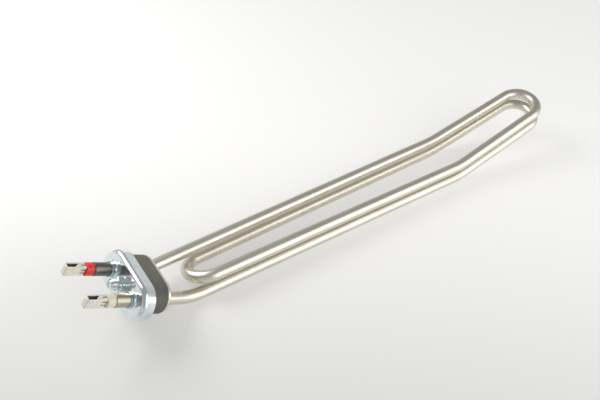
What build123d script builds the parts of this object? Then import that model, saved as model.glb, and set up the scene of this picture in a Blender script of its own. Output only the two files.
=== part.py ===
"""Flanged tubular immersion heater: a doubled hairpin of sheathed heating tube on an oval clamp flange.

Millimetres.  The origin is the centre of the flange's seating plane, the rear edge of the front
plate's rim.  +X runs along the heated tube, away from the flange, +Z is up and +Y points to leg A.
The middle runs of the tube lie level, so the heater stands on its two lower runs.  The flange is
tilted: its axis rises from the level runs towards the terminals.
"""

import os
from math import cos, radians, sin, tan

from build123d import *

# Heating tube
tube_d = 8.0
tube_wall = 0.7
layer_gap = 11.0  # centre to centre, upper runs above lower runs
layer_skew = 0.28  # the upper runs sit this far towards leg A, the lower runs as far away from it
near_width = 24.8  # centre to centre of the two runs of a layer, at the near turn
kink_width = 32.0  # the same, where the runs bend up
loop_width = 28.2  # the same, at the far turns
near_turn_x = 36.2  # outermost centreline of the near turn
kink_x = 261.0  # where the runs bend up, midway between the layers
kink_radius = 60.0  # midway between the layers
kink_rise = 14.5  # degrees that the far end rises
upper_loop_reach = 93.1  # bend point to the outermost centreline of the upper far turn
lower_loop_reach = 92.0
turn_flat = 0.4  # straight middle of each U turn

# Legs, from the level runs to the flange
flange_tilt = 33.0  # degrees between the flange axis and the level runs
terminal_spacing = 25.2
leg_a_straight = 1.5  # from the clamp plate's rear face to where leg A's axis meets its run
leg_a_radius = 12.0
leg_b_radius = 30.0

# Front plate, a drawn cup with a neck round each leg
plate_length = 49.4
plate_width = 24.0
plate_depth = 8.0
plate_sheet = 1.0
plate_edge = 2.5  # outside radius between face and rim
neck_wall = 0.65
neck_height = 3.0
neck_edge = 0.4
neck_flare = 1.2  # radius between the neck and the face
tube_clearance = 0.05  # all round each leg, in the plate and in the seal

# Rubber seal and rear clamp plate
seal_length = 41.0
seal_clearance = 0.3  # along each flank of the seal inside the cup
seal_reach = 12.0  # behind the seating plane
clamp_inset = 0.2  # the clamp plate is this much smaller than the seal, all round
clamp_sheet = 2.0
clamp_edge = 0.6
clamp_hole_clearance = 0.4  # all round each leg, room for the start of leg A's bend

# Clamp bolt and nut, M6
bolt_d = 6.0
bolt_clearance = 0.25
bolt_head_flats = 10.0
bolt_head_height = 4.0
bolt_end = 8.4  # above the plate's face
bolt_chamfer = 0.7
nut_flats = 8.5
nut_height = 4.6
nut_turn = -18.0  # degrees from a corner towards leg B
nut_chamfer = 0.5
thread_relief = 0.05  # between the bolt and the bore of the nut

# Terminals: what stands above the plate's face on leg A and on leg B
mouth_a = 13.4
mouth_b = 11.7
bead_step = 0.1  # the bead is this much smaller than the tube, all round
bead_height = 5.4
bead_edge = 0.7
bead_spigot = 3.0  # part of the bead inside the tube
resin_depth = 5.0
pin_d = 2.8
pin_grip = 3.5  # length of pin in the tab's barrel
cold_length = 55.0  # of each run, from the leg's bend to the heating coil
tab_gap = 0.2  # bead to tab
tab_length = 12.4
tab_width = 6.3
tab_wall = 0.8  # between the barrel's bore, or the window, and the faces of the tab
tab_nose_radius = 1.2
tab_nose_length = 1.0  # tip to the window
tab_window_front = 4.4  # window length along the front wall
tab_window_rear = 7.4  # window length along the rear wall
tab_slit = 0.8  # between the barrel's fingers
tab_slit_spacing = 2.1  # of the two slits in each wide face
tab_slit_depth = 2.8

# Inside the tube
coil_d = 3.4
coil_wire = 0.5

# Derived places
tilt = radians(flange_tilt)
leg_a_bend = seal_reach + clamp_sheet + leg_a_straight
run_z = -leg_a_bend * sin(tilt)  # level of the upper runs
middle_z = run_z - layer_gap / 2
leg_b_bend = leg_a_bend + layer_gap / sin(tilt)
tube_r = tube_d / 2
bore_r = tube_r - tube_wall
bead_r = tube_r - bead_step
neck_r = tube_r + tube_clearance + neck_wall
tab_thickness = pin_d + 2 * tab_wall
seal_width = plate_width - 2 * (plate_sheet + seal_clearance)
seal_edge = plate_edge - plate_sheet  # follows the inside corner of the cup

# The flange plane faces outwards along the terminals; its x axis runs from leg A to leg B.
flange = Plane(origin=(0, 0, 0), x_dir=(0, -1, 0), z_dir=(-cos(tilt), 0, sin(tilt)))
leg_a = Pos(-terminal_spacing / 2, 0)
leg_b = Pos(terminal_spacing / 2, 0)
legs = [(-terminal_spacing / 2, 0), (terminal_spacing / 2, 0)]
outward = Axis((0, 0, 0), flange.z_dir)

# The far plane carries the stretch beyond the bend; its x axis runs up the slope.
rise = radians(kink_rise)
far = Plane(origin=(kink_x, 0, middle_z), x_dir=(cos(rise), 0, sin(rise)), z_dir=(-sin(rise), 0, cos(rise)))


def on_leg(side, height):
    """Point on the axis of leg A (side -1) or leg B (side 1), above the seating plane."""
    return flange.from_local_coords(Vector(side * terminal_spacing / 2, 0, height))


def kink_corner(side, layer):
    """Corner where a run bends up: side 1 towards leg A, layer 1 for the upper one."""
    lean = layer * layer_gap / 2 * tan(rise / 2)
    return Vector(kink_x - lean, side * kink_width / 2 + layer * layer_skew, middle_z + layer * layer_gap / 2)


def far_corner(side, layer, reach):
    """Corner of a far turn before it is rounded."""
    return far.from_local_coords(Vector(reach, side * loop_width / 2 + layer * layer_skew, layer * layer_gap / 2))


def near_corner(side, layer):
    """Corner of the near turn before it is rounded."""
    return Vector(near_turn_x, side * near_width / 2 + layer * layer_skew, middle_z + layer * layer_gap / 2)


def turn_radius(before, corner, after):
    """Largest radius at a U turn's corner that leaves the flat in the middle of the turn."""
    turn = radians((corner - before).get_angle(after - corner))
    return ((after - corner).length - turn_flat) / 2 / tan(turn / 2)


# Corners of the tube's centreline between the two legs, and the radius at each
corners = [
    on_leg(-1, -leg_a_bend),
    kink_corner(1, 1),
    far_corner(1, 1, upper_loop_reach),
    far_corner(-1, 1, upper_loop_reach),
    kink_corner(-1, 1),
    near_corner(-1, 1),
    near_corner(1, -1),
    kink_corner(1, -1),
    far_corner(1, -1, lower_loop_reach),
    far_corner(-1, -1, lower_loop_reach),
    kink_corner(-1, -1),
    on_leg(1, -leg_b_bend),
]
upper_kink_radius = kink_radius - layer_gap / 2
lower_kink_radius = kink_radius + layer_gap / 2
radii = [
    leg_a_radius,
    upper_kink_radius,
    turn_radius(*corners[1:4]),
    turn_radius(*reversed(corners[2:5])),
    upper_kink_radius,
    turn_radius(*corners[4:7]),
    turn_radius(*reversed(corners[5:8])),
    lower_kink_radius,
    turn_radius(*corners[7:10]),
    turn_radius(*reversed(corners[8:11])),
    lower_kink_radius,
    leg_b_radius,
]

# Where the cold pins end and the heating coil begins, on the first and the last run
cold_a = corners[0] + (corners[1] - corners[0]).normalized() * cold_length
cold_b = corners[-1] + (corners[-2] - corners[-1]).normalized() * cold_length


def tube_along(points, bends, outer, inner=0):
    """Sweep a round section, hollow where inner is set, along a route of straights and arcs."""
    with BuildLine() as route:
        FilletPolyline(*points, radius=bends)
    with BuildSketch(Plane(route.line @ 0, z_dir=route.line % 0)) as section:
        Circle(outer)
        if inner:
            Circle(inner, mode=Mode.SUBTRACT)
    sweep(section.sketch, path=route.line)


with BuildPart() as sheath_tube:
    mouths = [on_leg(-1, plate_depth + mouth_a), on_leg(1, plate_depth + mouth_b)]
    tube_along([mouths[0], *corners, mouths[1]], radii, tube_r, bore_r)
sheath_tube.part.label = "sheath_tube"


with BuildPart() as heating_coil:
    tube_along([cold_a, *corners[1:-1], cold_b], radii[1:-1], coil_d / 2, coil_d / 2 - coil_wire)
heating_coil.part.label = "heating_coil"


def cold_pin(side, mouth, bend, bend_radius, inner_end):
    """Terminal pin from the tab's barrel through the leg to the heating coil."""
    with BuildPart() as pin:
        outer_end = on_leg(side, plate_depth + mouth + bead_height + tab_gap + pin_grip)
        tube_along([outer_end, bend, inner_end], [bend_radius], pin_d / 2)
    return pin


cold_pin_a = cold_pin(-1, mouth_a, corners[0], leg_a_radius, cold_a)
cold_pin_a.part.label = "cold_pin_a"
cold_pin_b = cold_pin(1, mouth_b, corners[-1], leg_b_radius, cold_b)
cold_pin_b.part.label = "cold_pin_b"


with BuildPart() as magnesia_fill:
    plug_depth = bead_spigot + resin_depth
    start_a = on_leg(-1, plate_depth + mouth_a - plug_depth)
    start_b = on_leg(1, plate_depth + mouth_b - plug_depth)
    tube_along([start_a, corners[0], cold_a], [leg_a_radius], bore_r, pin_d / 2)
    tube_along([start_b, corners[-1], cold_b], [leg_b_radius], bore_r, pin_d / 2)
    tube_along([cold_a, *corners[1:-1], cold_b], radii[1:-1], bore_r, coil_d / 2)
    tube_along([cold_a, *corners[1:-1], cold_b], radii[1:-1], coil_d / 2 - coil_wire)
magnesia_fill.part.label = "magnesia_fill"


def resin_plug(leg, mouth):
    """Resin that closes the tube behind the bead."""
    with BuildPart() as plug:
        with BuildSketch(flange.offset(plate_depth + mouth - bead_spigot - resin_depth)):
            with Locations(leg):
                Circle(bore_r)
                Circle(pin_d / 2, mode=Mode.SUBTRACT)
        extrude(amount=resin_depth)
    return plug


def insulating_bead(leg, mouth):
    """Bead that sits on the tube's mouth, with a spigot inside it and a hole for the pin."""
    with BuildPart() as bead:
        with BuildSketch(flange.offset(plate_depth + mouth)):
            with Locations(leg):
                Circle(bead_r)
        extrude(amount=bead_height)
        rims = bead.edges().filter_by(GeomType.CIRCLE).sort_by(outward)
        fillet(rims[-1], bead_edge)
        with BuildSketch(flange.offset(plate_depth + mouth - bead_spigot)):
            with Locations(leg):
                Circle(bore_r - tube_clearance)
        extrude(amount=bead_spigot)
        with BuildSketch(flange.offset(plate_depth + mouth - bead_spigot)):
            with Locations(leg):
                Circle(pin_d / 2)
        extrude(amount=bead_spigot + bead_height, mode=Mode.SUBTRACT)
    return bead


def tab_terminal(side, mouth):
    """Formed tab on leg A (side -1) or leg B (side 1): a barrel of fingers, a window and a closed nose."""
    foot = on_leg(side, plate_depth + mouth + bead_height + tab_gap)
    side_view = Plane(foot, x_dir=flange.x_dir, z_dir=-flange.y_dir)
    end_view = Plane(foot, x_dir=flange.x_dir, z_dir=flange.z_dir)
    window_end = tab_length - tab_nose_length
    with BuildPart() as tab:
        with BuildSketch(side_view) as outline:
            with Locations((0, tab_length / 2)):
                Rectangle(tab_thickness, tab_length)
            fillet(outline.vertices().group_by(Axis.Y)[-1], tab_nose_radius)
            with BuildLine():
                Polyline(
                    (-pin_d / 2, window_end),
                    (pin_d / 2, window_end),
                    (pin_d / 2, window_end - tab_window_front),
                    (-pin_d / 2, window_end - tab_window_rear),
                    close=True,
                )
            make_face(mode=Mode.SUBTRACT)
        extrude(amount=tab_width / 2, both=True)
        with BuildSketch(end_view):
            Circle(pin_d / 2)
        extrude(amount=pin_grip, mode=Mode.SUBTRACT)
        with BuildSketch(end_view):
            with GridLocations(0, tab_slit_spacing, 1, 2):
                Rectangle(tab_thickness, tab_slit)
            Rectangle(tab_slit, tab_width)
        extrude(amount=tab_slit_depth, mode=Mode.SUBTRACT)
    return tab


resin_plug_a = resin_plug(leg_a, mouth_a)
resin_plug_a.part.label = "resin_plug_a"
resin_plug_b = resin_plug(leg_b, mouth_b)
resin_plug_b.part.label = "resin_plug_b"
bead_a = insulating_bead(leg_a, mouth_a)
bead_a.part.label = "bead_a"
bead_b = insulating_bead(leg_b, mouth_b)
bead_b.part.label = "bead_b"
tab_a = tab_terminal(-1, mouth_a)
tab_a.part.label = "tab_a"
tab_b = tab_terminal(1, mouth_b)
tab_b.part.label = "tab_b"


with BuildPart() as front_plate:
    with BuildSketch(flange):
        SlotOverall(plate_length, plate_width)
    extrude(amount=plate_depth)
    fillet(front_plate.faces().sort_by(outward)[-1].edges(), plate_edge)
    with BuildSketch(flange):
        SlotOverall(plate_length - 2 * plate_sheet, plate_width - 2 * plate_sheet)
    extrude(amount=plate_depth - plate_sheet, mode=Mode.SUBTRACT)
    inner_face = front_plate.faces().filter_by(flange).sort_by(outward)[-2]
    fillet(inner_face.edges(), plate_edge - plate_sheet)
    with BuildSketch(flange.offset(plate_depth)):
        with Locations(*legs):
            Circle(neck_r)
    extrude(amount=neck_height)
    neck_rims = front_plate.edges().filter_by(GeomType.CIRCLE).sort_by(outward)[-2:]
    fillet(neck_rims, neck_edge)
    neck_feet = front_plate.edges().filter_by(lambda edge: edge.geom_type == GeomType.CIRCLE and edge.radius == neck_r)
    fillet(neck_feet.sort_by(outward)[:2], neck_flare)
    with BuildSketch(flange):
        with Locations(*legs):
            Circle(tube_r + tube_clearance)
        Circle(bolt_d / 2 + bolt_clearance)
    extrude(amount=plate_depth + neck_height, mode=Mode.SUBTRACT)
front_plate.part.label = "front_plate"


with BuildPart() as rubber_seal:
    with BuildSketch(flange.offset(-seal_reach)):
        SlotOverall(seal_length, seal_width)
    extrude(amount=seal_reach + plate_depth - plate_sheet)
    fillet(rubber_seal.faces().sort_by(outward)[-1].edges(), seal_edge)
    with BuildSketch(flange.offset(-seal_reach)):
        with Locations(*legs):
            Circle(tube_r + tube_clearance)
        Circle(bolt_d / 2 + bolt_clearance)
    extrude(amount=seal_reach + plate_depth, mode=Mode.SUBTRACT)
rubber_seal.part.label = "rubber_seal"


with BuildPart() as rear_clamp_plate:
    with BuildSketch(flange.offset(-seal_reach - clamp_sheet)):
        SlotOverall(seal_length - 2 * clamp_inset, seal_width - 2 * clamp_inset)
    extrude(amount=clamp_sheet)
    fillet(rear_clamp_plate.faces().sort_by(outward)[0].edges(), clamp_edge)
    with BuildSketch(flange.offset(-seal_reach - clamp_sheet)):
        with Locations(*legs):
            Circle(tube_r + clamp_hole_clearance)
        Circle(bolt_d / 2 + bolt_clearance)
    extrude(amount=clamp_sheet, mode=Mode.SUBTRACT)
rear_clamp_plate.part.label = "rear_clamp_plate"


with BuildPart() as clamp_bolt:
    head_seat = -seal_reach - clamp_sheet
    with BuildSketch(flange.offset(head_seat - bolt_head_height)):
        RegularPolygon(bolt_head_flats / 2, 6, major_radius=False)
    extrude(amount=bolt_head_height)
    with BuildSketch(flange.offset(head_seat)):
        Circle(bolt_d / 2)
    extrude(amount=plate_depth + bolt_end - head_seat)
    bolt_tip = clamp_bolt.edges().filter_by(GeomType.CIRCLE).sort_by(outward)[-1]
    chamfer(bolt_tip, bolt_chamfer)
clamp_bolt.part.label = "clamp_bolt"


with BuildPart() as hex_nut:
    with BuildSketch(flange.offset(plate_depth)):
        Circle(nut_flats / 2 / cos(radians(30)))
    extrude(amount=nut_height)
    chamfer(hex_nut.edges().filter_by(GeomType.CIRCLE), nut_chamfer)
    with BuildSketch(flange.offset(plate_depth)):
        RegularPolygon(nut_flats / 2, 6, major_radius=False, rotation=nut_turn)
    extrude(amount=nut_height, mode=Mode.INTERSECT)
    with BuildSketch(flange.offset(plate_depth)):
        Circle(bolt_d / 2 + thread_relief)
    extrude(amount=nut_height, mode=Mode.SUBTRACT)
hex_nut.part.label = "hex_nut"


pieces = [
    sheath_tube,
    magnesia_fill,
    heating_coil,
    cold_pin_a,
    cold_pin_b,
    resin_plug_a,
    resin_plug_b,
    bead_a,
    bead_b,
    tab_a,
    tab_b,
    front_plate,
    rubber_seal,
    rear_clamp_plate,
    clamp_bolt,
    hex_nut,
]

os.makedirs("parts", exist_ok=True)
for piece in pieces:
    export_step(piece.part, f"parts/{piece.part.label}.step")
print("floor level", round(middle_z - layer_gap / 2 - tube_r, 3))
print("bend radii", [round(radius, 2) for radius in radii])
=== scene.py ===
"""Looks of a flanged tubular immersion heater: a bent steel tube in an oval clamp flange.

Sizes are in millimetres, in the CAD frame: +X along the heated runs, +Y towards leg A, +Z up, with
the origin at the centre of the flange's seating plane.  Meshes are made in metres, in that frame.
"""

import logging
from dataclasses import dataclass, field
from enum import Enum
from math import cos, pi, radians, sin
from typing import Any, Sequence

import bmesh
import bpy
import numpy as np
from mathutils import Matrix, Vector


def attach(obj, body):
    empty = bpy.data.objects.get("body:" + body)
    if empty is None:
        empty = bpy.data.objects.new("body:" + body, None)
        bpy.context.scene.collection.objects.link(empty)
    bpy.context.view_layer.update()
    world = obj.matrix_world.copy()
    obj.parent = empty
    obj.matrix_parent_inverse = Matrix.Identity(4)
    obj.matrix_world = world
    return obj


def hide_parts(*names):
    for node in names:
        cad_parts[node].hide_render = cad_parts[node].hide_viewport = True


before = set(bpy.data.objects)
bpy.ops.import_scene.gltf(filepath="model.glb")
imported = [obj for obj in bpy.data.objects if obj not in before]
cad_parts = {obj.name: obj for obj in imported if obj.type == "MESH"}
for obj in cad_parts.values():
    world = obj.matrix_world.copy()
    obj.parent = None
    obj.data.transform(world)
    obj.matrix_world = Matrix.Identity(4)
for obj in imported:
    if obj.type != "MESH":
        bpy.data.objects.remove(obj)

LOG = logging.getLogger("heater")
METRE = 0.001  # metres in a millimetre
ROOT = "root"
UV_MAP = "along_and_round"
WELD = 1e-7  # metres between points that become one
SMALLEST_EDGE = 1e-8  # metres
CREASE = radians(32.0)  # between faces whose shared edge stays sharp
BEVEL_ANGLE = radians(35.0)  # between faces whose shared edge is rounded
BEVEL_STEPS = 3

Triple = tuple[float, float, float]


class Leg(Enum):
    """The two ends of the tube; the value is the side of the flange's centre that the leg is on."""

    A = -1
    B = 1


MOUTHS = {Leg.A: 13.4, Leg.B: 11.7}  # millimetres of each leg in front of the plate's face


# ---------------------------------------------------------------- shader maths


class Signal:
    """A shader value that turns Python arithmetic into Math nodes."""

    def __init__(self, shader: "Shader", socket: bpy.types.NodeSocket) -> None:
        """Keeps the shader that owns the socket."""
        self.shader = shader
        self.socket = socket

    def _math(self, operation: str, first: Any, second: Any) -> "Signal":
        """Adds one Math node.

        Args:
            operation: Name of the Math node's operation.
            first: Left operand, a signal or a number.
            second: Right operand, a signal or a number.

        Returns:
            The node's result.
        """
        return self.shader.node("ShaderNodeMath", {"operation": operation}, {0: first, 1: second})

    def __add__(self, other: Any) -> "Signal":
        """Sum."""
        return self._math("ADD", self, other)

    def __radd__(self, other: Any) -> "Signal":
        """Sum, with the number first."""
        return self._math("ADD", other, self)

    def __sub__(self, other: Any) -> "Signal":
        """Difference."""
        return self._math("SUBTRACT", self, other)

    def __rsub__(self, other: Any) -> "Signal":
        """Difference, with the number first."""
        return self._math("SUBTRACT", other, self)

    def __mul__(self, other: Any) -> "Signal":
        """Product."""
        return self._math("MULTIPLY", self, other)

    def __rmul__(self, other: Any) -> "Signal":
        """Product, with the number first."""
        return self._math("MULTIPLY", other, self)

    def size(self) -> "Signal":
        """Value without its sign."""
        return self.shader.node("ShaderNodeMath", {"operation": "ABSOLUTE"}, {0: self})

    def smoothstep(self, low: float, high: float) -> "Signal":
        """Rises smoothly from 0 at low to 1 at high.

        Args:
            low: Value where the step starts.
            high: Value where it ends.

        Returns:
            The step.
        """
        settings = {"interpolation_type": "SMOOTHSTEP"}
        inputs = {"Value": self, "From Min": low, "From Max": high}
        return self.shader.node("ShaderNodeMapRange", settings, inputs)


class Shader:
    """Builds the node tree of a material or of a world."""

    def __init__(self, owner: bpy.types.Material | bpy.types.World) -> None:
        """Empties a node tree.

        Args:
            owner: Material or world that the tree belongs to.
        """
        self.owner = owner
        self.owner.use_nodes = True
        self.tree = self.owner.node_tree
        self.tree.nodes.clear()

    @classmethod
    def named(cls, name: str) -> "Shader":
        """Starts a new material."""
        return cls(bpy.data.materials.new(name))

    def node(
        self,
        kind: str,
        settings: dict[str, Any] | None = None,
        inputs: dict[Any, Any] | None = None,
        output: int | str = 0,
    ) -> Signal:
        """Adds a node, sets it up and feeds its sockets.

        Args:
            kind: Blender's name of the node type.
            settings: Properties that are set before the sockets are fed.
            inputs: Socket name or number to a signal, a number or a tuple.
            output: Socket that the returned signal reads.

        Returns:
            The chosen output.
        """
        made = self.tree.nodes.new(kind)
        for key, value in (settings or {}).items():
            setattr(made, key, value)
        for key, value in (inputs or {}).items():
            if isinstance(value, Signal):
                self.tree.links.new(value.socket, made.inputs[key])
            else:
                made.inputs[key].default_value = value
        return Signal(self, made.outputs[output])

    def place(self) -> Signal:
        """Object coordinates, in metres."""
        return self.node("ShaderNodeTexCoord", output="Object")

    def distance_along(self, place: Signal, direction: np.ndarray) -> Signal:
        """Distance of a place from the origin along a direction.

        Args:
            place: Coordinates, in metres.
            direction: Unit vector.

        Returns:
            The distance, in metres.
        """
        inputs = {0: place, 1: tuple(float(part) for part in direction)}
        return self.node("ShaderNodeVectorMath", {"operation": "DOT_PRODUCT"}, inputs, "Value")

    def stretched(self, vector: Signal, scale: Triple) -> Signal:
        """Scales a vector's three parts.

        Args:
            vector: Coordinates to scale.
            scale: Factor for each part.

        Returns:
            The scaled coordinates.
        """
        return self.node("ShaderNodeVectorMath", {"operation": "MULTIPLY"}, {0: vector, 1: scale})

    def noise(
        self, vector: Signal, scale: float, detail: float = 3.0, roughness: float = 0.5
    ) -> Signal:
        """Fractal noise between 0 and 1.

        Args:
            vector: Coordinates that the noise is read at.
            scale: Cells for each unit of the coordinates.
            detail: Octaves.
            roughness: Weight of the finer octaves.

        Returns:
            The noise.
        """
        inputs = {"Vector": vector, "Scale": scale, "Detail": detail, "Roughness": roughness}
        return self.node("ShaderNodeTexNoise", {"noise_dimensions": "3D"}, inputs)

    def blend(self, share: Signal, low: Any, high: Any) -> Signal:
        """Mixes two colours.

        Args:
            share: 0 gives low and 1 gives high.
            low: Colour tuple or signal.
            high: Colour tuple or signal.

        Returns:
            The mixed colour.
        """
        mixed = self.tree.nodes.new("ShaderNodeMix")
        mixed.data_type = "RGBA"
        picks = {socket.name: socket for socket in mixed.inputs if socket.enabled}
        for key, value in {"Factor": share, "A": opaque(low), "B": opaque(high)}.items():
            if isinstance(value, Signal):
                self.tree.links.new(value.socket, picks[key])
            else:
                picks[key].default_value = value
        return Signal(self, next(socket for socket in mixed.outputs if socket.enabled))

    def bump(self, height: Signal, distance: float, strength: float = 1.0) -> Signal:
        """Turns a height into a normal.

        Args:
            height: Height signal.
            distance: Metres of relief for a height of 1.
            strength: Weight of the relief.

        Returns:
            The normal.
        """
        inputs = {"Height": height, "Distance": distance, "Strength": strength}
        return self.node("ShaderNodeBump", {}, inputs)

    def finish(self, **inputs: Any) -> bpy.types.Material:
        """Adds the Principled shader and the output.

        Args:
            **inputs: Principled sockets, with underscores for spaces in their names.

        Returns:
            The material.
        """
        named = {key.replace("_", " "): value for key, value in inputs.items()}
        named["Base Color"] = opaque(named["Base Color"])
        surface = self.node("ShaderNodeBsdfPrincipled", {}, named)
        target = self.tree.nodes.new("ShaderNodeOutputMaterial")
        self.tree.links.new(surface.socket, target.inputs["Surface"])
        return self.owner


def opaque(colour: Any) -> Any:
    """Gives an RGB tuple an alpha of 1 and leaves a signal as it is."""
    return (*colour, 1.0) if isinstance(colour, tuple) and len(colour) == 3 else colour


# ---------------------------------------------------------------- finishes


@dataclass(frozen=True)
class DrawnSteel:
    """Satin stainless tube with fine lengthwise draw lines, on a UV map in metres."""

    bright: Triple = (0.755, 0.715, 0.625)
    dull: Triple = (0.65, 0.61, 0.52)
    front_tone: Triple = (0.47, 0.44, 0.355)  # darker and yellower tube in front of the plate
    oxide: Triple = (0.165, 0.16, 0.145)
    oxide_reach: float = 0.0142  # metres of darkened tube at end A
    front_tone_from: float = 8.0  # above the seating plane, in millimetres
    front_tone_to: float = 12.0
    draw_cells: Triple = (22.0, 2600.0, 1.0)  # to the metre, along and round the tube
    patina_cells: Triple = (38.0, 90.0, 1.0)
    grain_cells: float = 2400.0  # to the metre
    relief: float = 0.00004  # metres
    roughness: float = 0.27

    def material(self, outwards: np.ndarray) -> bpy.types.Material:
        """Makes the material of the heating tube.

        Args:
            outwards: Unit vector along the terminals.

        Returns:
            The material.
        """
        shader = Shader.named("drawn_stainless")
        along = shader.node("ShaderNodeUVMap", {"uv_map": UV_MAP})
        parts = shader.node("ShaderNodeSeparateXYZ", {}, {0: along})
        draw = shader.noise(shader.stretched(along, self.draw_cells), 1.0, 4.0, 0.6)
        patina = shader.noise(shader.stretched(along, self.patina_cells), 1.0, 3.0)
        grain = shader.noise(shader.place(), self.grain_cells, 2.0)
        polish = (draw * 0.6 + patina * 0.6).smoothstep(0.35, 0.85)
        steel = shader.blend(polish, self.dull, self.bright)
        height = shader.distance_along(shader.place(), outwards)
        # the tube is made darker and yellower in front of the plate
        front = height.smoothstep(self.front_tone_from * METRE, self.front_tone_to * METRE)
        steel = shader.blend(front, steel, self.front_tone)
        worn = parts.smoothstep(self.oxide_reach, self.oxide_reach * 0.8)
        smudge = patina.smoothstep(0.35, 0.7) * 0.25
        colour = shader.blend(worn * (1 - smudge), steel, self.oxide)
        rough = self.roughness + draw * 0.10 + grain * 0.05
        return shader.finish(
            Base_Color=colour,
            Metallic=1.0,
            Roughness=rough,
            Normal=shader.bump(draw * 0.7 + grain * 0.3, self.relief, 0.35),
        )


@dataclass(frozen=True)
class BrightZinc:
    """Bright zinc plating: near-mirror, blue-white, with faint clouds and a slight orange peel."""

    name: str
    clear: Triple = (0.84, 0.89, 0.905)
    cloudy: Triple = (0.74, 0.80, 0.815)
    drawn: Triple = (0.47, 0.54, 0.55)  # painted shade that darkens the reflection on the necks' drawn walls
    neck_shade_from: float = 8.3  # above the seating plane, in millimetres
    neck_shade_to: float = 9.2
    roughness: float = 0.11
    peel: float = 0.00004  # metres
    cloud_cells: float = 160.0  # to the metre
    speck_cells: float = 1500.0
    peel_cells: float = 240.0

    def material(self, outwards: np.ndarray | None = None) -> bpy.types.Material:
        """Makes the material of a zinc-plated piece.

        Args:
            outwards: Unit vector along the terminals, for a piece with drawn necks, which get
                painted shade.

        Returns:
            The material.
        """
        shader = Shader.named(self.name)
        place = shader.place()
        clouds = shader.noise(place, self.cloud_cells, 4.0)
        specks = shader.noise(place, self.speck_cells, 2.0).smoothstep(0.62, 0.74)
        colour = shader.blend(clouds.smoothstep(0.35, 0.7), self.cloudy, self.clear)
        if outwards is not None:
            # painted shade: the necks' walls are darkened to dim their reflection
            height = shader.distance_along(place, outwards)
            neck = height.smoothstep(self.neck_shade_from * METRE, self.neck_shade_to * METRE)
            colour = shader.blend(neck, colour, self.drawn)
        rough = self.roughness + clouds * 0.05 + specks * 0.08
        wave = shader.noise(place, self.peel_cells, 1.5)
        return shader.finish(
            Base_Color=colour,
            Metallic=1.0,
            Roughness=rough,
            Normal=shader.bump(wave, self.peel, 0.5),
        )


@dataclass(frozen=True)
class MouldedRubber:
    """Dark seal rubber with a dusty bloom, and painted light and shade that make it paler towards
    leg A.
    """

    # pale and dark are painted light and shade: paler towards leg A, darker at leg B's end
    pale: Triple = (0.138, 0.132, 0.110)
    dark: Triple = (0.086, 0.085, 0.071)
    bloom: Triple = (0.185, 0.178, 0.15)
    side_shade_from: float = -4.0  # from the flange's centre towards leg B, in millimetres
    side_shade_to: float = 14.0
    dust_cells: float = 130.0  # to the metre
    skin_cells: float = 1900.0
    relief: float = 0.00006  # metres
    roughness: float = 0.55
    sheen: float = 0.28

    def material(self, across: np.ndarray) -> bpy.types.Material:
        """Makes the material of the seal.

        Args:
            across: Unit vector from leg A to leg B.

        Returns:
            The material.
        """
        shader = Shader.named("seal_rubber")
        place = shader.place()
        dust = shader.noise(place, self.dust_cells, 5.0, 0.6)
        skin = shader.noise(place, self.skin_cells, 2.0)
        # painted light and shade: graded from pale at leg A to dark towards leg B
        side = shader.distance_along(place, across)
        share = side.smoothstep(self.side_shade_from * METRE, self.side_shade_to * METRE)
        body = shader.blend(share, self.pale, self.dark)
        colour = shader.blend(dust.smoothstep(0.3, 0.75) * 0.6, body, self.bloom)
        return shader.finish(
            Base_Color=colour,
            Roughness=self.roughness + dust * 0.2,
            Specular_IOR_Level=self.sheen,
            Normal=shader.bump(skin * 0.6 + dust * 0.4, self.relief, 0.5),
        )


@dataclass(frozen=True)
class MouldedBead:
    """Moulded plastic with faint flow marks and a thin gloss."""

    name: str
    deep: Triple
    light: Triple
    flow_cells: float = 420.0  # to the metre
    skin_cells: float = 2600.0
    relief: float = 0.00003  # metres
    roughness: float = 0.34
    gloss: float = 0.25
    gloss_roughness: float = 0.2

    def material(self) -> bpy.types.Material:
        """Makes the material of a bead.

        Returns:
            The material.
        """
        shader = Shader.named(self.name)
        place = shader.place()
        flow = shader.noise(place, self.flow_cells, 3.0)
        skin = shader.noise(place, self.skin_cells, 2.0)
        return shader.finish(
            Base_Color=shader.blend(flow.smoothstep(0.3, 0.7), self.deep, self.light),
            Roughness=self.roughness + flow * 0.12,
            Coat_Weight=self.gloss,
            Coat_Roughness=self.gloss_roughness,
            Normal=shader.bump(skin, self.relief, 0.4),
        )


@dataclass(frozen=True)
class SatinMetal:
    """Plain satin metal, such as bare steel or wire, with a fine grain."""

    name: str
    bright: Triple
    dull: Triple
    roughness: float
    cloud_cells: float = 300.0  # to the metre
    grain_cells: float = 3200.0
    relief: float = 0.00003  # metres

    def material(self) -> bpy.types.Material:
        """Makes the material of a satin metal piece.

        Returns:
            The material.
        """
        shader = Shader.named(self.name)
        place = shader.place()
        cloud = shader.noise(place, self.cloud_cells, 4.0)
        grain = shader.noise(place, self.grain_cells, 2.0)
        return shader.finish(
            Base_Color=shader.blend(cloud.smoothstep(0.3, 0.7), self.dull, self.bright),
            Metallic=1.0,
            Roughness=self.roughness + cloud * 0.1,
            Normal=shader.bump(grain, self.relief, 0.4),
        )


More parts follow.
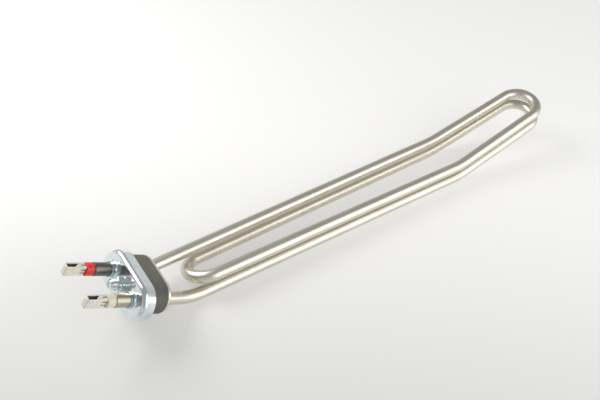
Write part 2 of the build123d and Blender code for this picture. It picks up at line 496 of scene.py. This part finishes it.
@dataclass(frozen=True)
class FormedNickel:
    """Nickel-plated tab, dull on its outside, with painted shade in its hollow between its two
    walls.
    """

    name: str
    flange: "FlangeFrame"
    leg: Leg
    bright: Triple = (0.89, 0.86, 0.76)
    dull: Triple = (0.80, 0.765, 0.66)
    # painted shade inside the tab's hollow, between its walls
    hollow: Triple = (0.13, 0.12, 0.09)
    half_gap: float = 1.45  # from the leg's axis to the inside of a wall, in millimetres
    half_depth: float = 2.9  # from the leg's axis to where the hollow ends
    tip: float = 0.0  # above the seating plane
    tip_wall: float = 0.9
    soft: float = 1.04  # of a half width, where the hollow's edge starts to fade in
    cloud_cells: float = 420.0  # to the metre
    grain_cells: float = 3000.0
    relief: float = 0.00003  # metres
    roughness: float = 0.34
    metallic: float = 0.66

    def material(self) -> bpy.types.Material:
        """Makes the material of a tab.

        Returns:
            The material.
        """
        shader = Shader.named(self.name)
        place = shader.place()
        leg_side = self.leg.value * self.flange.leg_spacing / 2 * METRE
        across = (shader.distance_along(place, self.flange.across) - leg_side).size()
        upwards = shader.distance_along(place, self.flange.upwards).size()
        gap_edge, depth_edge = self.half_gap * METRE, self.half_depth * METRE
        gap = across.smoothstep(gap_edge * self.soft, gap_edge)
        depth = upwards.smoothstep(depth_edge * self.soft, depth_edge * 0.8)
        cloud = shader.noise(place, self.cloud_cells, 4.0)
        grain = shader.noise(place, self.grain_cells, 2.0)
        outwards = shader.distance_along(place, self.flange.outwards)
        wall_end = (self.tip - self.tip_wall) * METRE
        behind_tip = outwards.smoothstep(wall_end, (self.tip - self.tip_wall * 1.1) * METRE)
        # painted shade: in the hollow the colour darkens and the metal turns less metallic and
        # rougher
        inside = gap * depth * behind_tip
        plating = shader.blend(cloud.smoothstep(0.3, 0.7), self.dull, self.bright)
        return shader.finish(
            Base_Color=shader.blend(inside, plating, self.hollow),
            Metallic=self.metallic - inside * 0.4,
            Roughness=self.roughness + cloud * 0.12 + inside * 0.25,
            Normal=shader.bump(grain, self.relief, 0.4),
        )


@dataclass(frozen=True)
class Powder:
    """Dull packed or cast filling inside the tube."""

    name: str
    pale: Triple
    dark: Triple
    grit_cells: float = 1800.0  # to the metre
    relief: float = 0.00005  # metres
    roughness: float = 0.85

    def material(self) -> bpy.types.Material:
        """Makes the material of a filling.

        Returns:
            The material.
        """
        shader = Shader.named(self.name)
        grit = shader.noise(shader.place(), self.grit_cells, 4.0)
        return shader.finish(
            Base_Color=shader.blend(grit, self.dark, self.pale),
            Roughness=self.roughness,
            Normal=shader.bump(grit, self.relief, 0.5),
        )


# ---------------------------------------------------------------- meshes


def grid_object(
    name: str, points: np.ndarray, wrap: tuple[bool, bool], uv: np.ndarray | None = None
) -> bpy.types.Object:
    """Makes a piece from a surface of two parameters.

    A face joins each point to the next along the rows and the columns; a wrapped direction joins
    its last line to its first.

    Args:
        name: Name of the piece.
        points: Array of rows, columns and the three coordinates, in millimetres.
        wrap: Whether the rows and the columns close on themselves.
        uv: Array of one more row and column than a wrapped direction has, and two coordinates.

    Returns:
        The piece, with its doubled points merged.
    """
    rows, columns = points.shape[:2]
    row = np.arange(rows if wrap[0] else rows - 1)[:, None]
    column = np.arange(columns if wrap[1] else columns - 1)[None, :]
    steps = [(0, 0), (0, 1), (1, 1), (1, 0)]
    corners = [
        ((row + down) % rows) * columns + (column + right) % columns for down, right in steps
    ]
    faces = np.stack(corners, axis=-1).reshape(-1, 4)
    mesh = bpy.data.meshes.new(name)
    mesh.from_pydata((points.reshape(-1, 3) * METRE).tolist(), [], faces.tolist())
    if uv is not None:
        per_face = np.stack([uv[row + down, column + right] for down, right in steps], axis=2)
        layer = mesh.uv_layers.new(name=UV_MAP)
        layer.data.foreach_set("uv", per_face.astype(np.float32).ravel())
    return finished(name, mesh)


def finished(name: str, mesh: bpy.types.Mesh) -> bpy.types.Object:
    """Welds a mesh, turns its faces outwards, smooths it up to a crease and links its object.

    Args:
        name: Name of the piece.
        mesh: Mesh in metres.

    Returns:
        The piece.
    """
    work = bmesh.new()
    work.from_mesh(mesh)
    bmesh.ops.remove_doubles(work, verts=work.verts, dist=WELD)
    bmesh.ops.dissolve_degenerate(work, edges=work.edges, dist=SMALLEST_EDGE)
    bmesh.ops.recalc_face_normals(work, faces=work.faces)
    work.to_mesh(mesh)
    work.free()
    mesh.shade_smooth()
    mesh.set_sharp_from_angle(angle=CREASE)
    piece = bpy.data.objects.new(name, mesh)
    bpy.context.scene.collection.objects.link(piece)
    return piece


def softened_copy(node: str, name: str, edge: float) -> bpy.types.Object:
    """Copies a CAD node, welds it and rounds its sharp edges.

    Args:
        node: CAD node that the piece stands for.
        name: Name of the piece.
        edge: Width of the rounding, in millimetres.

    Returns:
        The piece.
    """
    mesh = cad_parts[node].data.copy()
    mesh.materials.clear()
    piece = finished(name, mesh)
    bevel = piece.modifiers.new("edge", "BEVEL")
    bevel.width = edge * METRE
    bevel.segments = BEVEL_STEPS
    bevel.limit_method = "ANGLE"
    bevel.angle_limit = BEVEL_ANGLE
    bevel.use_clamp_overlap = False
    normals = piece.modifiers.new("normals", "WEIGHTED_NORMAL")
    normals.keep_sharp = True
    return piece


def stand_for(piece: bpy.types.Object, node: str, material: bpy.types.Material) -> None:
    """Dresses a piece, puts it in place of a CAD node and lets it ride with the heater.

    Args:
        piece: The new piece.
        node: CAD node that it replaces.
        material: Finish.
    """
    piece.data.materials.clear()
    piece.data.materials.append(material)
    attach(piece, ROOT)
    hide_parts(node)
    LOG.info("%s stands for %s with %d points", piece.name, node, len(piece.data.vertices))


def unit(vectors: np.ndarray) -> np.ndarray:
    """Scales each vector along the last axis to a length of 1."""
    return vectors / np.linalg.norm(vectors, axis=-1, keepdims=True)


@dataclass(frozen=True)
class FlangeFrame:
    """The tilted frame of the flange: across from leg A to leg B, up its short axis, outwards."""

    tilt: float = radians(33.0)
    leg_spacing: float = 25.2
    plate_depth: float = 8.0

    @property
    def outwards(self) -> np.ndarray:
        """Unit vector along the terminals."""
        return np.array([-cos(self.tilt), 0.0, sin(self.tilt)])

    @property
    def upwards(self) -> np.ndarray:
        """Unit vector along the flange's short axis."""
        return np.array([sin(self.tilt), 0.0, cos(self.tilt)])

    @property
    def across(self) -> np.ndarray:
        """Unit vector from leg A to leg B."""
        return np.array([0.0, -1.0, 0.0])

    def turned(
        self, radius: np.ndarray, angle: np.ndarray, height: np.ndarray, side: int = 0
    ) -> np.ndarray:
        """Points of a surface about an axis square to the plate.

        A point lies at radius from the axis, at angle from across towards upwards, and at height
        above the seating plane.

        Args:
            radius: Radii, in millimetres.
            angle: Angles, in radians.
            height: Heights, in millimetres.
            side: Axis: -1 for leg A, 0 for the bolt and 1 for leg B.

        Returns:
            The points, in the CAD frame.
        """
        radius, angle, height = np.broadcast_arrays(radius, angle, height)
        centre = side * self.leg_spacing / 2
        return (
            (centre + radius * np.cos(angle))[..., None] * self.across
            + (radius * np.sin(angle))[..., None] * self.upwards
            + height[..., None] * self.outwards
        )

    def on_leg(self, leg: Leg, height: float) -> np.ndarray:
        """Point on a leg's axis, at a height above the seating plane."""
        return leg.value * self.leg_spacing / 2 * self.across + height * self.outwards


# ---------------------------------------------------------------- the tube


@dataclass
class HeatingTube:
    """The sheath: one tube bent into two layers of two runs, with a far end that rises."""

    flange: FlangeFrame = field(default_factory=FlangeFrame)
    diameter: float = 8.0
    wall: float = 0.7
    layer_gap: float = 11.0
    layer_skew: float = 0.28
    near_width: float = 24.8
    kink_width: float = 32.0
    loop_width: float = 28.2
    near_turn_x: float = 36.2
    kink_x: float = 261.0
    kink_radius: float = 60.0
    rise: float = radians(14.5)
    upper_reach: float = 93.1
    lower_reach: float = 92.0
    turn_flat: float = 0.4
    leg_a_bend: float = 15.5
    leg_a_radius: float = 12.0
    leg_b_radius: float = 30.0
    lip: float = 0.25  # radius of the edge at each mouth
    lip_steps: int = 4
    arc_step: float = radians(2.5)
    round_steps: int = 48

    def corner(self, x: float, side: int, width: float, layer: int) -> np.ndarray:
        """Corner of the route on a level stretch.

        Args:
            x: Place along the runs.
            side: 1 towards leg A, -1 towards leg B.
            width: Distance between the layer's two runs there.
            layer: 1 for the upper layer, -1 for the lower one, 0 for the level midway.

        Returns:
            The corner.
        """
        middle = -self.leg_a_bend * sin(self.flange.tilt) - self.layer_gap / 2
        y = side * width / 2 + layer * self.layer_skew
        return np.array([x, y, middle + layer * self.layer_gap / 2])

    def kink(self, side: int, layer: int) -> np.ndarray:
        """Corner where a run bends up."""
        lean = layer * self.layer_gap / 2 * np.tan(self.rise / 2)
        return self.corner(self.kink_x - lean, side, self.kink_width, layer)

    def far(self, side: int, layer: int) -> np.ndarray:
        """Corner of a far turn, at the end of the rising stretch.

        Args:
            side: 1 towards leg A, -1 towards leg B.
            layer: 1 for the upper layer, -1 for the lower one.

        Returns:
            The corner.
        """
        reach = self.upper_reach if layer == 1 else self.lower_reach
        foot = self.corner(self.kink_x, side, self.loop_width, 0)
        up_slope = np.array([cos(self.rise), 0.0, sin(self.rise)])
        off_slope = np.array([-sin(self.rise), 0.0, cos(self.rise)])
        skew = np.array([0.0, layer * self.layer_skew, 0.0])
        return foot + skew + reach * up_slope + layer * self.layer_gap / 2 * off_slope

    def route(self) -> tuple[np.ndarray, np.ndarray]:
        """Lists the route's corners from mouth A to mouth B.

        Returns:
            The corners, and the radius at each; the two ends have a radius of 0.
        """
        near = [self.corner(self.near_turn_x, side, self.near_width, -side) for side in (-1, 1)]
        leg_b_bend = self.leg_a_bend + self.layer_gap / sin(self.flange.tilt)
        depth = self.flange.plate_depth
        corners = np.array(
            [
                self.flange.on_leg(Leg.A, depth + MOUTHS[Leg.A]),
                self.flange.on_leg(Leg.A, -self.leg_a_bend),
                self.kink(1, 1),
                self.far(1, 1),
                self.far(-1, 1),
                self.kink(-1, 1),
                near[0],
                near[1],
                self.kink(1, -1),
                self.far(1, -1),
                self.far(-1, -1),
                self.kink(-1, -1),
                self.flange.on_leg(Leg.B, -leg_b_bend),
                self.flange.on_leg(Leg.B, depth + MOUTHS[Leg.B]),
            ]
        )
        upper = self.kink_radius - self.layer_gap / 2
        lower = self.kink_radius + self.layer_gap / 2
        turns = {first: self.turn_radii(corners[first - 1 : first + 3]) for first in (3, 6, 9)}
        layers = [upper, *turns[3], upper, *turns[6], lower, *turns[9], lower]
        return corners, np.array([0.0, self.leg_a_radius, *layers, self.leg_b_radius, 0.0])

    def turn_radii(self, corners: np.ndarray) -> tuple[float, float]:
        """Radii at the two middle corners of a U turn that leave its short flat.

        Args:
            corners: The corner before the turn, its two corners, and the corner after it.

        Returns:
            The radius at each of the two.
        """
        legs = unit(np.diff(corners, axis=0))
        half_turns = np.arccos(np.clip((legs[:-1] * legs[1:]).sum(axis=1), -1.0, 1.0)) / 2
        reach = (np.linalg.norm(corners[2] - corners[1]) - self.turn_flat) / 2
        return tuple(reach / np.tan(half_turns))

    def centreline(self) -> tuple[np.ndarray, np.ndarray]:
        """Rounds each corner of the route with a tangent arc.

        At a corner the arc starts radius * tan(turn / 2) before it, and a point of the arc is
        start + radius * sin(a) * ahead + radius * (1 - cos(a)) * inwards for a from 0 to the turn.

        Returns:
            Points along the centreline, and the unit tangent at each.
        """
        corners, radii = self.route()
        ahead = unit(np.diff(corners, axis=0))
        points, tangents = [corners[:1]], [ahead[:1]]
        for index in range(1, len(corners) - 1):
            before, after = ahead[index - 1], ahead[index]
            turn = np.arccos(np.clip(before @ after, -1.0, 1.0))
            inwards = unit(after - (before @ after) * before)
            start = corners[index] - before * radii[index] * np.tan(turn / 2)
            angle = np.linspace(0.0, turn, max(3, int(turn / self.arc_step)))[:, None]
            bend = np.sin(angle) * before + (1 - np.cos(angle)) * inwards
            points.append(start + radii[index] * bend)
            tangents.append(np.cos(angle) * before + np.sin(angle) * inwards)
        points.append(corners[-1:])
        tangents.append(ahead[-1:])
        return np.concatenate(points), np.concatenate(tangents)

    def surface(self) -> tuple[np.ndarray, np.ndarray]:
        """Carries a circle along the centreline, out along the outside and back along the bore.

        A point is centre + radius * (cos(a) * side + sin(a) * over), where side is level and square
        to the tangent, and over is square to both.

        Returns:
            The surface's points, and metres along and round it as UV coordinates.
        """
        centre, tangent = self.centreline()
        outer, inner = self.diameter / 2, self.diameter / 2 - self.wall
        lip_angle = np.linspace(0.0, pi / 2, self.lip_steps)
        lip_in = (self.lip - self.lip * np.cos(lip_angle))[:, None]
        lip_radius = outer - self.lip * (1 - np.sin(lip_angle))
        first = centre[0] + lip_in * tangent[0]
        last = centre[-1] - lip_in[::-1] * tangent[-1]
        middle, middle_tangent = centre[1:-1], tangent[1:-1]
        ends = [np.repeat(end, self.lip_steps, axis=0) for end in (tangent[:1], tangent[-1:])]
        out_centre = np.concatenate([first, middle, last])
        out_tangent = np.concatenate([ends[0], middle_tangent, ends[1]])
        out_radius = np.concatenate([lip_radius, np.full(len(middle), outer), lip_radius[::-1]])
        centres = np.concatenate([out_centre, centre[::-1]])
        tangents = np.concatenate([out_tangent, tangent[::-1]])
        radii = np.concatenate([out_radius, np.full(len(centre), inner)])
        side = unit(np.cross(tangents, [0.0, 0.0, 1.0]))
        over = np.cross(side, tangents)
        angle = np.linspace(0.0, 2 * pi, self.round_steps, endpoint=False)[None, :, None]
        ring = np.cos(angle) * side[:, None] + np.sin(angle) * over[:, None]
        points = centres[:, None] + radii[:, None, None] * ring
        steps = np.linalg.norm(np.diff(out_centre, axis=0), axis=1)
        along_out = np.concatenate([[0.0], np.cumsum(steps)])
        back = np.linalg.norm(np.diff(centre[::-1], axis=0), axis=1)
        along_in = along_out[-1] - np.concatenate([[0.0], np.cumsum(back)])
        along = np.concatenate([along_out, along_in, along_out[:1]]) * METRE
        around = np.linspace(0.0, 2 * pi * outer, self.round_steps + 1) * METRE
        uv = np.stack(np.broadcast_arrays(along[:, None], around[None, :]), axis=-1)
        return points, uv

    def build(self) -> None:
        """Makes the sheath."""
        points, uv = self.surface()
        piece = grid_object("heating_tube", points, (True, True), uv)
        steel = DrawnSteel().material(self.flange.outwards)
        stand_for(piece, "sheath_tube", steel)


# ---------------------------------------------------------------- the flange


@dataclass
class ClampFlange:
    """The drawn front plate, the rubber seal and the rear clamp plate."""

    flange: FlangeFrame = field(default_factory=FlangeFrame)
    plate_edge: float = 0.12
    seal_edge: float = 0.35
    clamp_edge: float = 0.15

    def build(self) -> None:
        """Makes the three pieces that the bolt pulls together."""
        plate = softened_copy("front_plate", "drawn_front_plate", self.plate_edge)
        zinc = BrightZinc("bright_zinc_plate").material(self.flange.outwards)
        stand_for(plate, "front_plate", zinc)
        seal = softened_copy("rubber_seal", "rubber_seal_block", self.seal_edge)
        rubber = MouldedRubber().material(self.flange.across)
        stand_for(seal, "rubber_seal", rubber)
        clamp = softened_copy("rear_clamp_plate", "rear_clamp_sheet", self.clamp_edge)
        steel = SatinMetal("clamp_plate_steel", (0.80, 0.77, 0.70), (0.66, 0.63, 0.56), 0.24)
        stand_for(clamp, "rear_clamp_plate", steel.material())


@dataclass
class Fasteners:
    """The clamp bolt with its rolled thread, and its nut."""

    flange: FlangeFrame = field(default_factory=FlangeFrame)
    bolt_radius: float = 3.0
    pitch: float = 1.0
    thread_depth: float = 0.55
    tip: float = 16.4  # above the seating plane
    tip_chamfer: float = 0.7
    thread_start: float = 4.0
    head_seat: float = -14.0
    head_height: float = 4.0
    head_flats: float = 10.0
    nut_flats: float = 8.5
    nut_height: float = 4.6
    nut_turn: float = radians(-18.0)
    chamfer: float = 0.5
    tip_radii: Triple = (2.3, 1.9, 1.7)  # of the tip's flat, and of its dimple's top and foot
    dimple_depth: float = 0.1
    thread_steps: int = 10  # rows in each turn of the thread
    bore_clearance: float = 0.05
    bore_chamfer: float = 0.3
    washer_inset: float = 0.1  # from the flats to the nut's round face
    round_steps: int = 96

    @staticmethod
    def hexagon(angle: np.ndarray, flats: float, turn: float = 0.0) -> np.ndarray:
        """Radius of a hexagon at an angle: flats / 2 / cos(angle from the nearest flat's middle)."""
        off_flat = np.mod(angle - turn, pi / 3) - pi / 6
        return flats / 2 / np.cos(off_flat)

    def angles(self) -> np.ndarray:
        """Angles round an axis, which include a hexagon's corners."""
        return np.linspace(0.0, 2 * pi, self.round_steps, endpoint=False)[None, :]

    def bolt(self) -> np.ndarray:
        """Lathe-like surface of the bolt: hexagonal head, plain shank and helical thread.

        The thread's crest is 1.5 times a triangular wave of height / pitch - angle / full turn,
        less 0.25, clipped to 0 and 1. The radius falls by the depth times 1 - crest, and a cone
        limits it at the tip.

        Returns:
            The surface's points.
        """
        angle = self.angles()
        head_low = self.head_seat - self.head_height
        corner = self.head_flats / 2 / cos(pi / 6)
        head = [head_low, head_low, head_low + self.chamfer, self.head_seat, self.head_seat]
        head_rows = np.array(head)[:, None]
        limit = [0.0, corner - 2 * self.chamfer, corner, corner, self.bolt_radius]
        head_radius = np.minimum(self.hexagon(angle, self.head_flats), np.array(limit)[:, None])
        rows = np.arange(self.thread_start, self.tip, self.pitch / self.thread_steps)[:, None]
        wave = np.abs(np.mod(rows / self.pitch - angle / (2 * pi), 1.0) * 2 - 1)
        crest = np.clip(wave * 1.5 - 0.25, 0.0, 1.0)
        fade = np.clip((rows - self.thread_start) / self.pitch, 0.0, 1.0)
        thread_radius = self.bolt_radius - self.thread_depth * (1 - crest) * fade
        cone = self.bolt_radius + (self.tip - rows) - self.tip_chamfer
        thread_radius = np.minimum(thread_radius, cone)
        dimple = self.tip - self.dimple_depth
        end_rows = np.array([self.tip, self.tip, dimple, dimple])[:, None]
        end_radius = np.array([*self.tip_radii, 0.0])[:, None] + 0 * angle
        radius = np.concatenate([head_radius, thread_radius, end_radius])
        height = np.concatenate([head_rows, rows, end_rows]) + 0 * angle
        return self.flange.turned(radius, angle, height)

    def nut(self) -> np.ndarray:
        """Surface of the nut: chamfered hexagon outside, bore inside.

        Returns:
            The surface's points.
        """
        angle = self.angles() + self.nut_turn
        low = self.flange.plate_depth
        high = low + self.nut_height
        corner = self.nut_flats / 2 / cos(pi / 6)
        bore = self.bolt_radius + self.bore_clearance
        washer_face = self.nut_flats / 2 - self.washer_inset
        ease = np.linspace(0.0, 1.0, 5)
        rise = self.chamfer * ease
        growth = washer_face + (corner - washer_face) * ease
        top = [high, high - self.bore_chamfer]
        rows = np.concatenate([[low], low + rise, high - rise[::-1], top])[:, None]
        mouth = [bore + self.bore_chamfer, bore]
        limit = np.concatenate([[bore], growth, growth[::-1], mouth])[:, None]
        radius = np.minimum(self.hexagon(angle, self.nut_flats, self.nut_turn), limit)
        return self.flange.turned(radius, angle, rows + 0 * angle)

    def build(self) -> None:
        """Makes the bolt and the nut."""
        bolt = grid_object("clamp_bolt_m6", self.bolt(), (False, True))
        zinc = BrightZinc("bright_zinc_bolt", (0.80, 0.84, 0.84), (0.62, 0.66, 0.66))
        stand_for(bolt, "clamp_bolt", zinc.material())
        nut = grid_object("clamp_nut", self.nut(), (True, True))
        plating = BrightZinc("bright_zinc_nut", roughness=0.14).material()
        stand_for(nut, "hex_nut", plating)


# ---------------------------------------------------------------- the terminals


@dataclass
class Terminal:
    """One end of the tube: an insulating bead and a formed tab."""

    leg: Leg
    bead_finish: MouldedBead
    flange: FlangeFrame = field(default_factory=FlangeFrame)
    bead_radius: float = 3.9
    bead_height: float = 5.4
    bead_edge: float = 0.7
    neck_radius: float = 3.45
    neck_height: float = 0.55
    pin_radius: float = 1.4
    spigot_radius: float = 3.25
    spigot: float = 3.0
    foot_chamfer: float = 0.15
    round_steps: int = 64
    tab_gap: float = 0.2
    tab_length: float = 12.4
    tab_edge: float = 0.22

    @property
    def seat(self) -> float:
        """Height of the tube's mouth above the seating plane."""
        return self.flange.plate_depth + MOUTHS[self.leg]

    def bead(self) -> np.ndarray:
        """Turned surface of the bead: spigot, neck, body with a rounded shoulder, and bore.

        A point is at the profile's radius and height, at every angle about the leg's axis.

        Returns:
            The surface's points.
        """
        bend = np.linspace(0.0, pi / 2, 7)
        shoulder_radius = self.bead_radius - self.bead_edge * (1 - np.cos(bend))
        shoulder_height = self.bead_height - self.bead_edge * (1 - np.sin(bend))
        radius = [self.pin_radius, self.spigot_radius, self.spigot_radius]
        radius += [self.neck_radius, self.neck_radius]
        radius += [self.bead_radius - self.foot_chamfer, self.bead_radius]
        radius += [*shoulder_radius, self.pin_radius]
        height = [-self.spigot, -self.spigot, 0.0, 0.0, self.neck_height]
        height += [self.neck_height, self.neck_height + self.foot_chamfer]
        height += [*shoulder_height, self.bead_height]
        angle = np.linspace(0.0, 2 * pi, self.round_steps, endpoint=False)[None, :]
        rows = self.seat + np.array(height)[:, None]
        return self.flange.turned(np.array(radius)[:, None], angle, rows, self.leg.value)

    def build(self) -> None:
        """Makes the bead and the tab."""
        letter = self.leg.name.lower()
        bead = grid_object(f"insulating_bead_{letter}", self.bead(), (True, True))
        stand_for(bead, f"bead_{letter}", self.bead_finish.material())
        tab = softened_copy(f"tab_{letter}", f"formed_tab_{letter}", self.tab_edge)
        tip = self.seat + self.bead_height + self.tab_gap + self.tab_length
        nickel = FormedNickel(f"nickel_tab_{letter}", self.flange, self.leg, tip=tip)
        stand_for(tab, f"tab_{letter}", nickel.material())


# ---------------------------------------------------------------- what the tube holds


class Filling:
    """The sealed pieces inside the tube, which keep their CAD shapes."""

    def build(self) -> None:
        """Dresses the filling, the heating coil, the cold pins and the resin plugs."""
        wire = SatinMetal("resistance_wire", (0.46, 0.43, 0.40), (0.33, 0.31, 0.29), 0.4)
        finishes = {
            "magnesia_fill": Powder("packed_magnesia", (0.86, 0.85, 0.81), (0.72, 0.71, 0.67)),
            "heating_coil": wire,
        }
        for end in ("a", "b"):
            steel = SatinMetal(f"pin_steel_{end}", (0.62, 0.60, 0.56), (0.48, 0.46, 0.43), 0.3)
            finishes[f"cold_pin_{end}"] = steel
        for end in ("a", "b"):
            resin = Powder(f"sealing_resin_{end}", (0.55, 0.44, 0.28), (0.42, 0.32, 0.2))
            finishes[f"resin_plug_{end}"] = resin
        for node, finish in finishes.items():
            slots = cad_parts[node].data.materials
            slots.clear()
            slots.append(finish.material())
            LOG.info("%s keeps its CAD shape", node)


# ---------------------------------------------------------------- the studio


@dataclass(frozen=True)
class Lamp:
    """An area lamp; its place and size are in millimetres."""

    name: str
    place: Triple
    size: tuple[float, float]
    radiance: float  # brightness of its surface, where 1 is a white surface in full light

    def build(self, aim: Triple) -> None:
        """Adds the lamp, turned towards a point.

        Args:
            aim: The point, in millimetres.
        """
        data = bpy.data.lights.new(self.name, "AREA")
        data.shape = "RECTANGLE"
        data.size, data.size_y = (side * METRE for side in self.size)
        data.energy = self.radiance * pi * data.size * data.size_y
        lamp = bpy.data.objects.new(self.name, data)
        lamp.location = Vector(self.place) * METRE
        towards = Vector(aim) * METRE - lamp.location
        lamp.rotation_euler = towards.to_track_quat("-Z", "Y").to_euler()
        bpy.context.scene.collection.objects.link(lamp)


@dataclass
class Studio:
    """Pale table, soft lights and the camera."""

    table_level: float = -23.45
    table_half: float = 3000.0
    table_roughness: float = 0.6
    table_sheen: float = 0.2
    table_colour: Triple = (0.90, 0.895, 0.885)
    table_seen: Triple = (0.51, 0.505, 0.485)
    near_glow: Triple = (0.10, 0.10, 0.10)
    far_glow: Triple = (0.50, 0.496, 0.494)
    glow_way: Triple = (0.645, 0.786, 0.0)  # across the table, away from the camera
    glow_from: float = -264.0  # millimetres that way from the origin
    glow_to: float = 193.0
    camera_place: Triple = (-76.7, -220.5, 308.5)
    aim: Triple = (140.5, 25.5, -23.4)
    camera_up: Triple = (0.3496, 0.6288, 0.6946)
    lens: float = 38.28
    sensor: float = 36.0
    wall_colour: Triple = (0.72, 0.722, 0.725)
    roof_colour: Triple = (0.36, 0.365, 0.375)
    wall_top: float = 0.6  # height of the walls on the unit sphere
    lamps: tuple[Lamp, ...] = (
        Lamp("key", (-130.0, 360.0, 370.0), (300.0, 300.0), 6.4),
        Lamp("ceiling", (430.0, -640.0, 340.0), (1000.0, 840.0), 1.48),
    )

    def table_finish(self) -> bpy.types.Material:
        """Makes a pale finish that glows in the camera and in metal, more at the far side.

        Returns:
            The material.
        """
        shader = Shader.named("pale_table")
        seen = shader.node("ShaderNodeLightPath", output="Is Camera Ray")
        for ray in ("Is Glossy Ray", "Is Transmission Ray"):
            seen = seen + shader.node("ShaderNodeLightPath", output=ray)
        away = shader.distance_along(shader.place(), np.array(self.glow_way))
        share = away.smoothstep(self.glow_from * METRE, self.glow_to * METRE)
        glow = shader.blend(share, self.near_glow, self.far_glow)
        return shader.finish(
            Base_Color=shader.blend(seen, self.table_colour, self.table_seen),
            Emission_Color=shader.blend(seen, (0.0, 0.0, 0.0), glow),
            Emission_Strength=1.0,
            Roughness=self.table_roughness,
            Specular_IOR_Level=self.table_sheen,
        )

    def table(self) -> None:
        """Makes the pale table top, which fills the view."""
        half = self.table_half
        corners = np.array([[-half, -half], [-half, half], [half, half], [half, -half]])
        points = np.column_stack([corners, np.full(4, self.table_level)]) * METRE
        mesh = bpy.data.meshes.new("table_top")
        mesh.from_pydata(points.tolist(), [], [(0, 3, 2, 1)])
        table = bpy.data.objects.new("table_top", mesh)
        bpy.context.scene.collection.objects.link(table)
        mesh.materials.append(self.table_finish())

    def world(self) -> None:
        """Makes the room's even light, from pale walls up to a dimmer roof."""
        world = bpy.data.worlds.new("soft_room")
        shader = Shader(world)
        direction = shader.node("ShaderNodeTexCoord", output="Generated")
        height = shader.node("ShaderNodeSeparateXYZ", {}, {0: direction}, "Z")
        share = height.smoothstep(0.0, self.wall_top)
        colour = shader.blend(share, self.wall_colour, self.roof_colour)
        background = shader.node("ShaderNodeBackground", {}, {"Color": colour})
        target = shader.tree.nodes.new("ShaderNodeOutputWorld")
        shader.tree.links.new(background.socket, target.inputs["Surface"])
        bpy.context.scene.world = world

    def camera(self) -> None:
        """Sets the camera up from its place, its aim and the way up in the picture."""
        data = bpy.data.cameras.new("camera")
        data.lens = self.lens
        data.sensor_width = self.sensor
        data.sensor_fit = "HORIZONTAL"
        data.clip_start = 0.01
        place = Vector(self.camera_place)
        back = (place - Vector(self.aim)).normalized()
        right = Vector(self.camera_up).cross(back).normalized()
        over = back.cross(right)
        rotation = Matrix((right, over, back)).transposed().to_4x4()
        camera = bpy.data.objects.new("camera", data)
        camera.matrix_world = Matrix.Translation(place * METRE) @ rotation
        bpy.context.scene.collection.objects.link(camera)
        bpy.context.scene.camera = camera

    def build(self) -> None:
        """Sets up the table, the lights and the camera."""
        self.camera()
        self.table()
        self.world()
        for lamp in self.lamps:
            lamp.build(self.aim)
        bpy.context.scene.view_settings.view_transform = "Standard"


def main() -> None:
    logging.basicConfig(level=logging.INFO)
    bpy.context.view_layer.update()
    HeatingTube().build()
    ClampFlange().build()
    Fasteners().build()
    red = MouldedBead("bead_red", (0.62, 0.02, 0.02), (0.80, 0.045, 0.04))
    cream = MouldedBead("bead_cream", (0.66, 0.655, 0.50), (0.76, 0.75, 0.60))
    Terminal(Leg.A, red).build()
    Terminal(Leg.B, cream).build()
    Filling().build()
    Studio().build()


if __name__ == "__main__":
    main()
